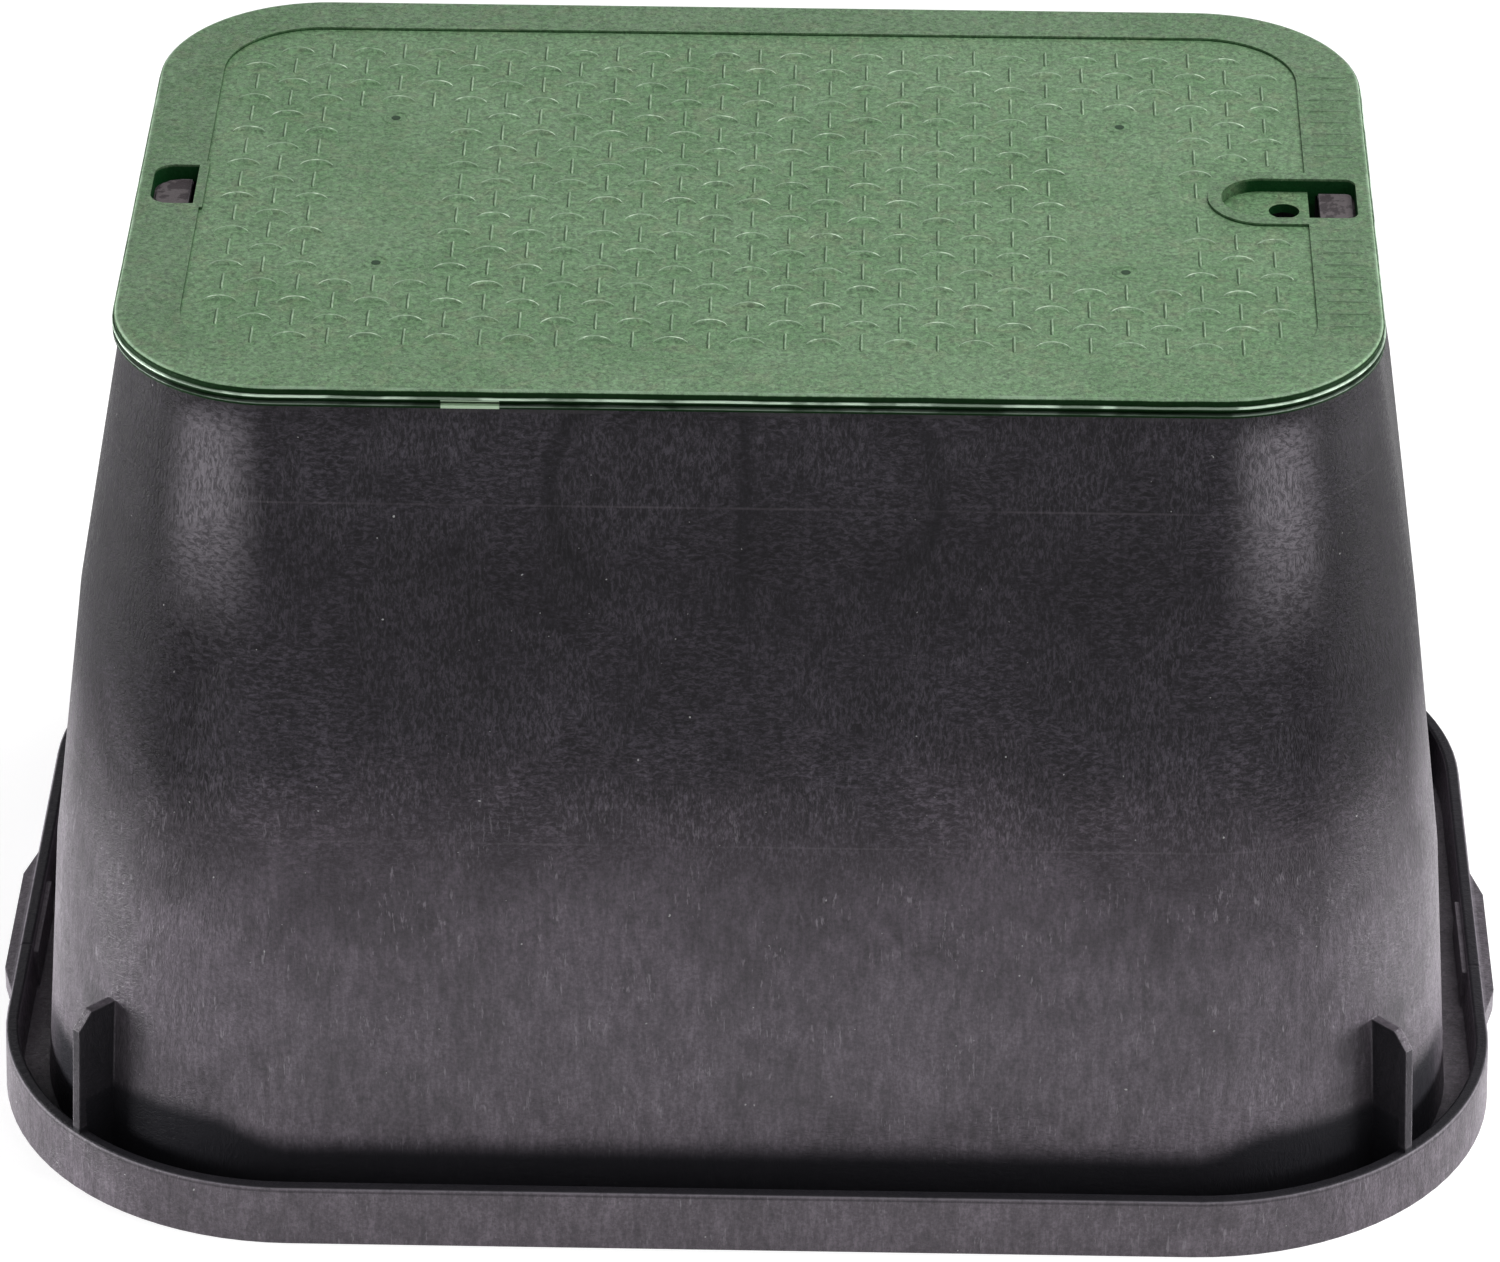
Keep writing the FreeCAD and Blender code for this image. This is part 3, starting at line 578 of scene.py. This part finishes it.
def body_plastic():
    """Black structural plastic, scuffed pale on its edges, with painted shade in the channel, on the gusset
    faces, on the rim top and under its edge, and a painted highlight along the rim.
    """
    material, tree, shader = new_material("black_body_plastic")
    vector, x, y, z = place(tree)
    past_x, past_y, reach = corner_reach(tree, x, y)
    colour, leather, streak = wall_colour(tree, vector, x, z, past_x)
    colour, shaded = corner_light(tree, colour, z, past_x, reach, leather)

    normal, edge = soft_edges(tree, EDGE_RADIUS)
    beyond_channel = spread(tree, reach, RIM_INNER - 0.0012, RIM_INNER - 0.0004)
    on_rim = times(tree, beyond_channel, spread(tree, z, RIM_TOP + 0.003, RIM_TOP + 0.001))
    on_top = times(tree, on_rim, spread(tree, z, RIM_TOP - 0.0010, RIM_TOP - 0.0005))
    near_top = times(tree, on_rim, spread(tree, z, RIM_TOP - 0.0030, RIM_TOP - 0.0022))
    rub = times(tree, edge, spread(tree, streak, 0.36, 0.60, 0.35, 0.95), opposite(tree, near_top))
    colour = mix(tree, rub, colour, (0.24, 0.22, 0.25))

    # Painted shade in the channel, darker towards the front, on the gusset faces, on the rim top and under
    # its outer edge
    corner = times(tree, spread(tree, past_x, 0.0, 0.03), spread(tree, past_y, 0.0, 0.03))
    inside_rim = spread(tree, reach, RIM_INNER + 0.0010, RIM_INNER)
    lift = calc(tree, "ADD", z, times(tree, corner, -0.009))
    to_front = spread(tree, past_y, 0.0, 0.04, 0.20, 1.0)
    channel = times(tree, spread(tree, lift, 0.037, 0.0255), inside_rim, to_front)
    plate = gusset_plate(tree, z, corner, edge)
    at_rim_edge = spread(tree, reach, RIM_INNER + 0.004, RIM_INNER + 0.005)
    under = times(tree, on_rim, band(tree, z, RIM_TOP - 0.0016, 0.0002, 0.0004), at_rim_edge)
    depth = times(tree, channel, 0.97)
    for part, share in ((plate, 0.84), (on_top, 0.93), (under, 0.5)):
        depth = calc(tree, "MAXIMUM", depth, times(tree, part, share))
    colour = mix(tree, depth, colour, (0.0125, 0.0125, 0.0150))
    # Painted highlight along the outer edge of the rim top
    crest_highlight = times(tree, on_top, band(tree, reach, RIM_INNER + 0.0050, 0.0004, 0.0005))
    crest_highlight = times(tree, crest_highlight, spread(tree, streak, 0.3, 0.55, 0.6, 1.0))
    colour = mix(tree, times(tree, crest_highlight, 0.8), colour, (0.25, 0.23, 0.26))

    tree.links.new(colour, shader.inputs["Base Color"])
    tree.links.new(spread(tree, leather, 0.38, 0.62, 0.34, 0.56), shader.inputs["Roughness"])
    dulled = calc(tree, "MAXIMUM", times(tree, depth, 0.9), times(tree, shaded, 1.35))
    shine = times(tree, spread(tree, z, 0.20, 0.06, 0.14, 0.42), opposite(tree, dulled))
    shader.inputs["Specular IOR Level"].default_value = BODY_SHINE
    tree.links.new(shine, shader.inputs["Specular IOR Level"])
    bump(tree, shader, leather, 0.00045, normal)
    return material


def dress(node, material):
    """Give a CAD node one material all over."""
    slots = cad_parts[node].data.materials
    slots.clear()
    slots.append(material)


def new_piece(name, verts, faces, material):
    """Mesh piece that rides on the box and takes its finish from a slot."""
    mesh = bpy.data.meshes.new(name)
    mesh.from_pydata(verts, [], faces)
    mesh.update()
    for polygon in mesh.polygons:
        polygon.use_smooth = True
    piece = bpy.data.objects.new(name, mesh)
    bpy.context.scene.collection.objects.link(piece)
    mesh.materials.append(material)
    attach(piece, "root")
    return piece


def grid_faces(rows, columns, first, wrap=False):
    """Quads of a grid of vertices; wrap closes the rows into a ring."""
    faces = []
    for row in range(rows if wrap else rows - 1):
        following = (row + 1) % rows
        for column in range(columns - 1):
            a = first + row * columns + column
            b = first + following * columns + column
            faces.append((a, b, b + 1, a + 1))
    return faces


def arc_rise(x, rise):
    """Height in plan of a circular arc over its chord."""
    radius = (ARC_HALF_CHORD ** 2 + rise ** 2) / (2 * rise)
    return math.sqrt(max(radius ** 2 - x ** 2, 0.0)) - radius + rise


def arc_form(centre_x, centre_y):
    """Vertices of a smooth half-moon with its steeper side to the back."""
    verts = []
    for station in range(ARC_STATIONS + 1):
        along = -math.cos(math.pi * station / ARC_STATIONS)
        x = ARC_HALF_CHORD * along
        outer = arc_rise(x, ARC_OUTER_RISE) + ARC_MARGIN
        inner = arc_rise(x, ARC_INNER_RISE) - ARC_MARGIN
        swell = math.sqrt(max(1 - abs(along) ** 3, 0.0))
        for across, height in ARC_PROFILE:
            y = outer + (inner - outer) * across - ARC_OUTER_RISE / 2
            lift = ARC_HEIGHT * height * (swell if height > 0 else 1)
            verts.append((centre_x + x, centre_y + y, PANEL_TOP + lift))
    return verts


def bar_form(centre_x, centre_y):
    """Vertices of a smooth bar along Y with rounded ends."""
    verts = []
    for along, swell in BAR_STATIONS:
        for across, height in BAR_PROFILE:
            x = BAR_HALF_WIDTH * across * (0.5 + 0.5 * swell)
            y = BAR_HALF_LENGTH * along
            lift = BAR_HEIGHT * (height * swell if height > 0 else height)
            verts.append((centre_x + x, centre_y + y, PANEL_TOP + lift))
    return verts


def tread_places():
    """Chequered places of the tread, as in the CAD source."""
    columns = int((LID_HALF_X - TREAD_INSET) / PITCH_X)
    rows = round((LID_HALF_Y - TREAD_INSET) / PITCH_Y)
    for column in range(-columns, columns + 1):
        for row in range(-rows, rows):
            x = column * PITCH_X
            y = (row + 0.5) * PITCH_Y
            is_arc = (column + row) % 2 == 1
            beyond_x = max(abs(x) - CORNER_X, 0)
            beyond_y = max(abs(y) - CORNER_Y, 0)
            in_corner = math.hypot(beyond_x, beyond_y) > LID_CORNER - TREAD_INSET
            in_field = abs(abs(x) - FIELD_X) < FIELD_HALF_X and abs(y) < FIELD_HALF_Y
            distance = math.hypot(min(x - POCKET_CENTRE_X, 0), y) - POCKET_COLLAR
            at_pocket = distance < (ARC_POCKET_GAP if is_arc else BAR_POCKET_GAP)
            if not (in_corner or in_field or at_pocket):
                yield x, y, is_arc


def tread():
    """All arcs as one piece and all bars as another."""
    for name, wanted, form, columns in (
        ("tread_arcs", True, arc_form, len(ARC_PROFILE)),
        ("tread_bars", False, bar_form, len(BAR_PROFILE)),
    ):
        verts = []
        faces = []
        for x, y, is_arc in tread_places():
            if is_arc == wanted:
                points = form(x, y)
                faces += grid_faces(len(points) // columns, columns, len(verts))
                verts += points
        new_piece(name, verts, faces, tread_plastic(wanted))


def pin_marks(plastic, dark):
    """Round moulding marks: a low ring about a small dark dot of painted shade for the pinhole, four times.
    """
    ring = []
    ring_faces = []
    dots = []
    dot_faces = []
    for sign_x in (-1, 1):
        for sign_y in (-1, 1):
            centre_x = sign_x * FIELD_X
            centre_y = sign_y * PIN_Y
            ring_faces += grid_faces(PIN_SEGMENTS, len(PIN_RING_PROFILE), len(ring), wrap=True)
            dot_faces.append(tuple(range(len(dots), len(dots) + PIN_SEGMENTS)))
            for step in range(PIN_SEGMENTS):
                turn = 2 * math.pi * step / PIN_SEGMENTS
                for across, height in PIN_RING_PROFILE:
                    radius = PIN_RING_RADIUS + PIN_RING_HALF * across
                    x = centre_x + radius * math.cos(turn)
                    y = centre_y + radius * math.sin(turn)
                    ring.append((x, y, PANEL_TOP + PIN_RING_HEIGHT * height))
                x = centre_x + PIN_DOT_RADIUS * math.cos(turn)
                y = centre_y + PIN_DOT_RADIUS * math.sin(turn)
                dots.append((x, y, PANEL_TOP + PIN_RING_HEIGHT / 4))
    new_piece("pin_rings", ring, ring_faces, plastic)
    new_piece("pin_dots", dots, dot_faces, dark)


def floor_and_background():
    """White floor that keeps the object's shadow, and a white studio round it."""
    mesh = bpy.data.meshes.new("floor")
    half = FLOOR_HALF
    corners = [(-half, -half, 0), (half, -half, 0), (half, half, 0), (-half, half, 0)]
    mesh.from_pydata(corners, [], [(0, 1, 2, 3)])
    floor = bpy.data.objects.new("floor", mesh)
    bpy.context.scene.collection.objects.link(floor)
    material = bpy.data.materials.new("pale_floor")
    material.use_nodes = True
    tree = material.node_tree
    tree.nodes.clear()
    diffuse = tree.nodes.new("ShaderNodeBsdfDiffuse")
    diffuse.inputs["Color"].default_value = (FLOOR_GREY, FLOOR_GREY, FLOOR_GREY, 1)
    glow = tree.nodes.new("ShaderNodeEmission")
    tree.links.new(seen_rays(tree, FLOOR_GLOW), glow.inputs["Strength"])
    both = tree.nodes.new("ShaderNodeAddShader")
    output = tree.nodes.new("ShaderNodeOutputMaterial")
    tree.links.new(diffuse.outputs["BSDF"], both.inputs[0])
    tree.links.new(glow.outputs["Emission"], both.inputs[1])
    tree.links.new(both.outputs["Shader"], output.inputs["Surface"])
    floor.data.materials.append(material)
    world = bpy.data.worlds.new("studio")
    bpy.context.scene.world = world
    world.use_nodes = True
    tree = world.node_tree
    tree.nodes.clear()
    soft = tree.nodes.new("ShaderNodeBackground")
    strength = calc(tree, "ADD", seen_rays(tree, 1 - STUDIO_LIGHT), STUDIO_LIGHT)
    tree.links.new(strength, soft.inputs["Strength"])
    output = tree.nodes.new("ShaderNodeOutputWorld")
    tree.links.new(soft.outputs["Background"], output.inputs["Surface"])


def seen_rays(tree, strength):
    """A strength for rays from the camera, mirrors and glass, and 0 for the light itself."""
    path = tree.nodes.new("ShaderNodeLightPath")
    seen = calc(tree, "MAXIMUM", path.outputs["Is Camera Ray"], path.outputs["Is Glossy Ray"])
    seen = calc(tree, "MAXIMUM", seen, path.outputs["Is Transmission Ray"])
    return calc(tree, "MULTIPLY", seen, strength)


def lamp(name, where, target, width, height, power):
    """Soft lamp that looks at a point."""
    data = bpy.data.lights.new(name, "AREA")
    data.shape = "RECTANGLE"
    data.size = width
    data.size_y = height
    data.energy = power
    light = bpy.data.objects.new(name, data)
    light.location = where
    light.rotation_euler = (Vector(target) - Vector(where)).to_track_quat("-Z", "Y").to_euler()
    bpy.context.scene.collection.objects.link(light)


def camera():
    """Camera at the photograph's angle."""
    yaw, pitch, roll = (math.radians(a) for a in (CAMERA_YAW, CAMERA_PITCH, CAMERA_ROLL))
    side = Vector((math.cos(yaw), math.sin(yaw), 0))
    ahead = Vector((-math.sin(yaw) * math.cos(pitch), math.cos(yaw) * math.cos(pitch), -math.sin(pitch)))
    up = side.cross(ahead)
    right = side * math.cos(roll) + up * math.sin(roll)
    up = up * math.cos(roll) - side * math.sin(roll)
    data = bpy.data.cameras.new("camera")
    data.sensor_width = SENSOR_WIDTH
    data.lens = FOCAL_PIXELS / PHOTO_WIDTH * SENSOR_WIDTH
    data.clip_end = 50
    eye = bpy.data.objects.new("camera", data)
    turn = Matrix((right, up, -ahead)).transposed().to_4x4()
    eye.matrix_world = Matrix.Translation(CAMERA_PLACE) @ turn
    bpy.context.scene.collection.objects.link(eye)
    bpy.context.scene.camera = eye


green = lid_plastic()
dress("valve_box_lid", green)
dress("valve_box_body", body_plastic())
tread()
pin_marks(green, dark_dimple())
floor_and_background()
for settings in LAMPS:
    lamp(*settings)
camera()
bpy.context.scene.view_settings.view_transform = "Standard"
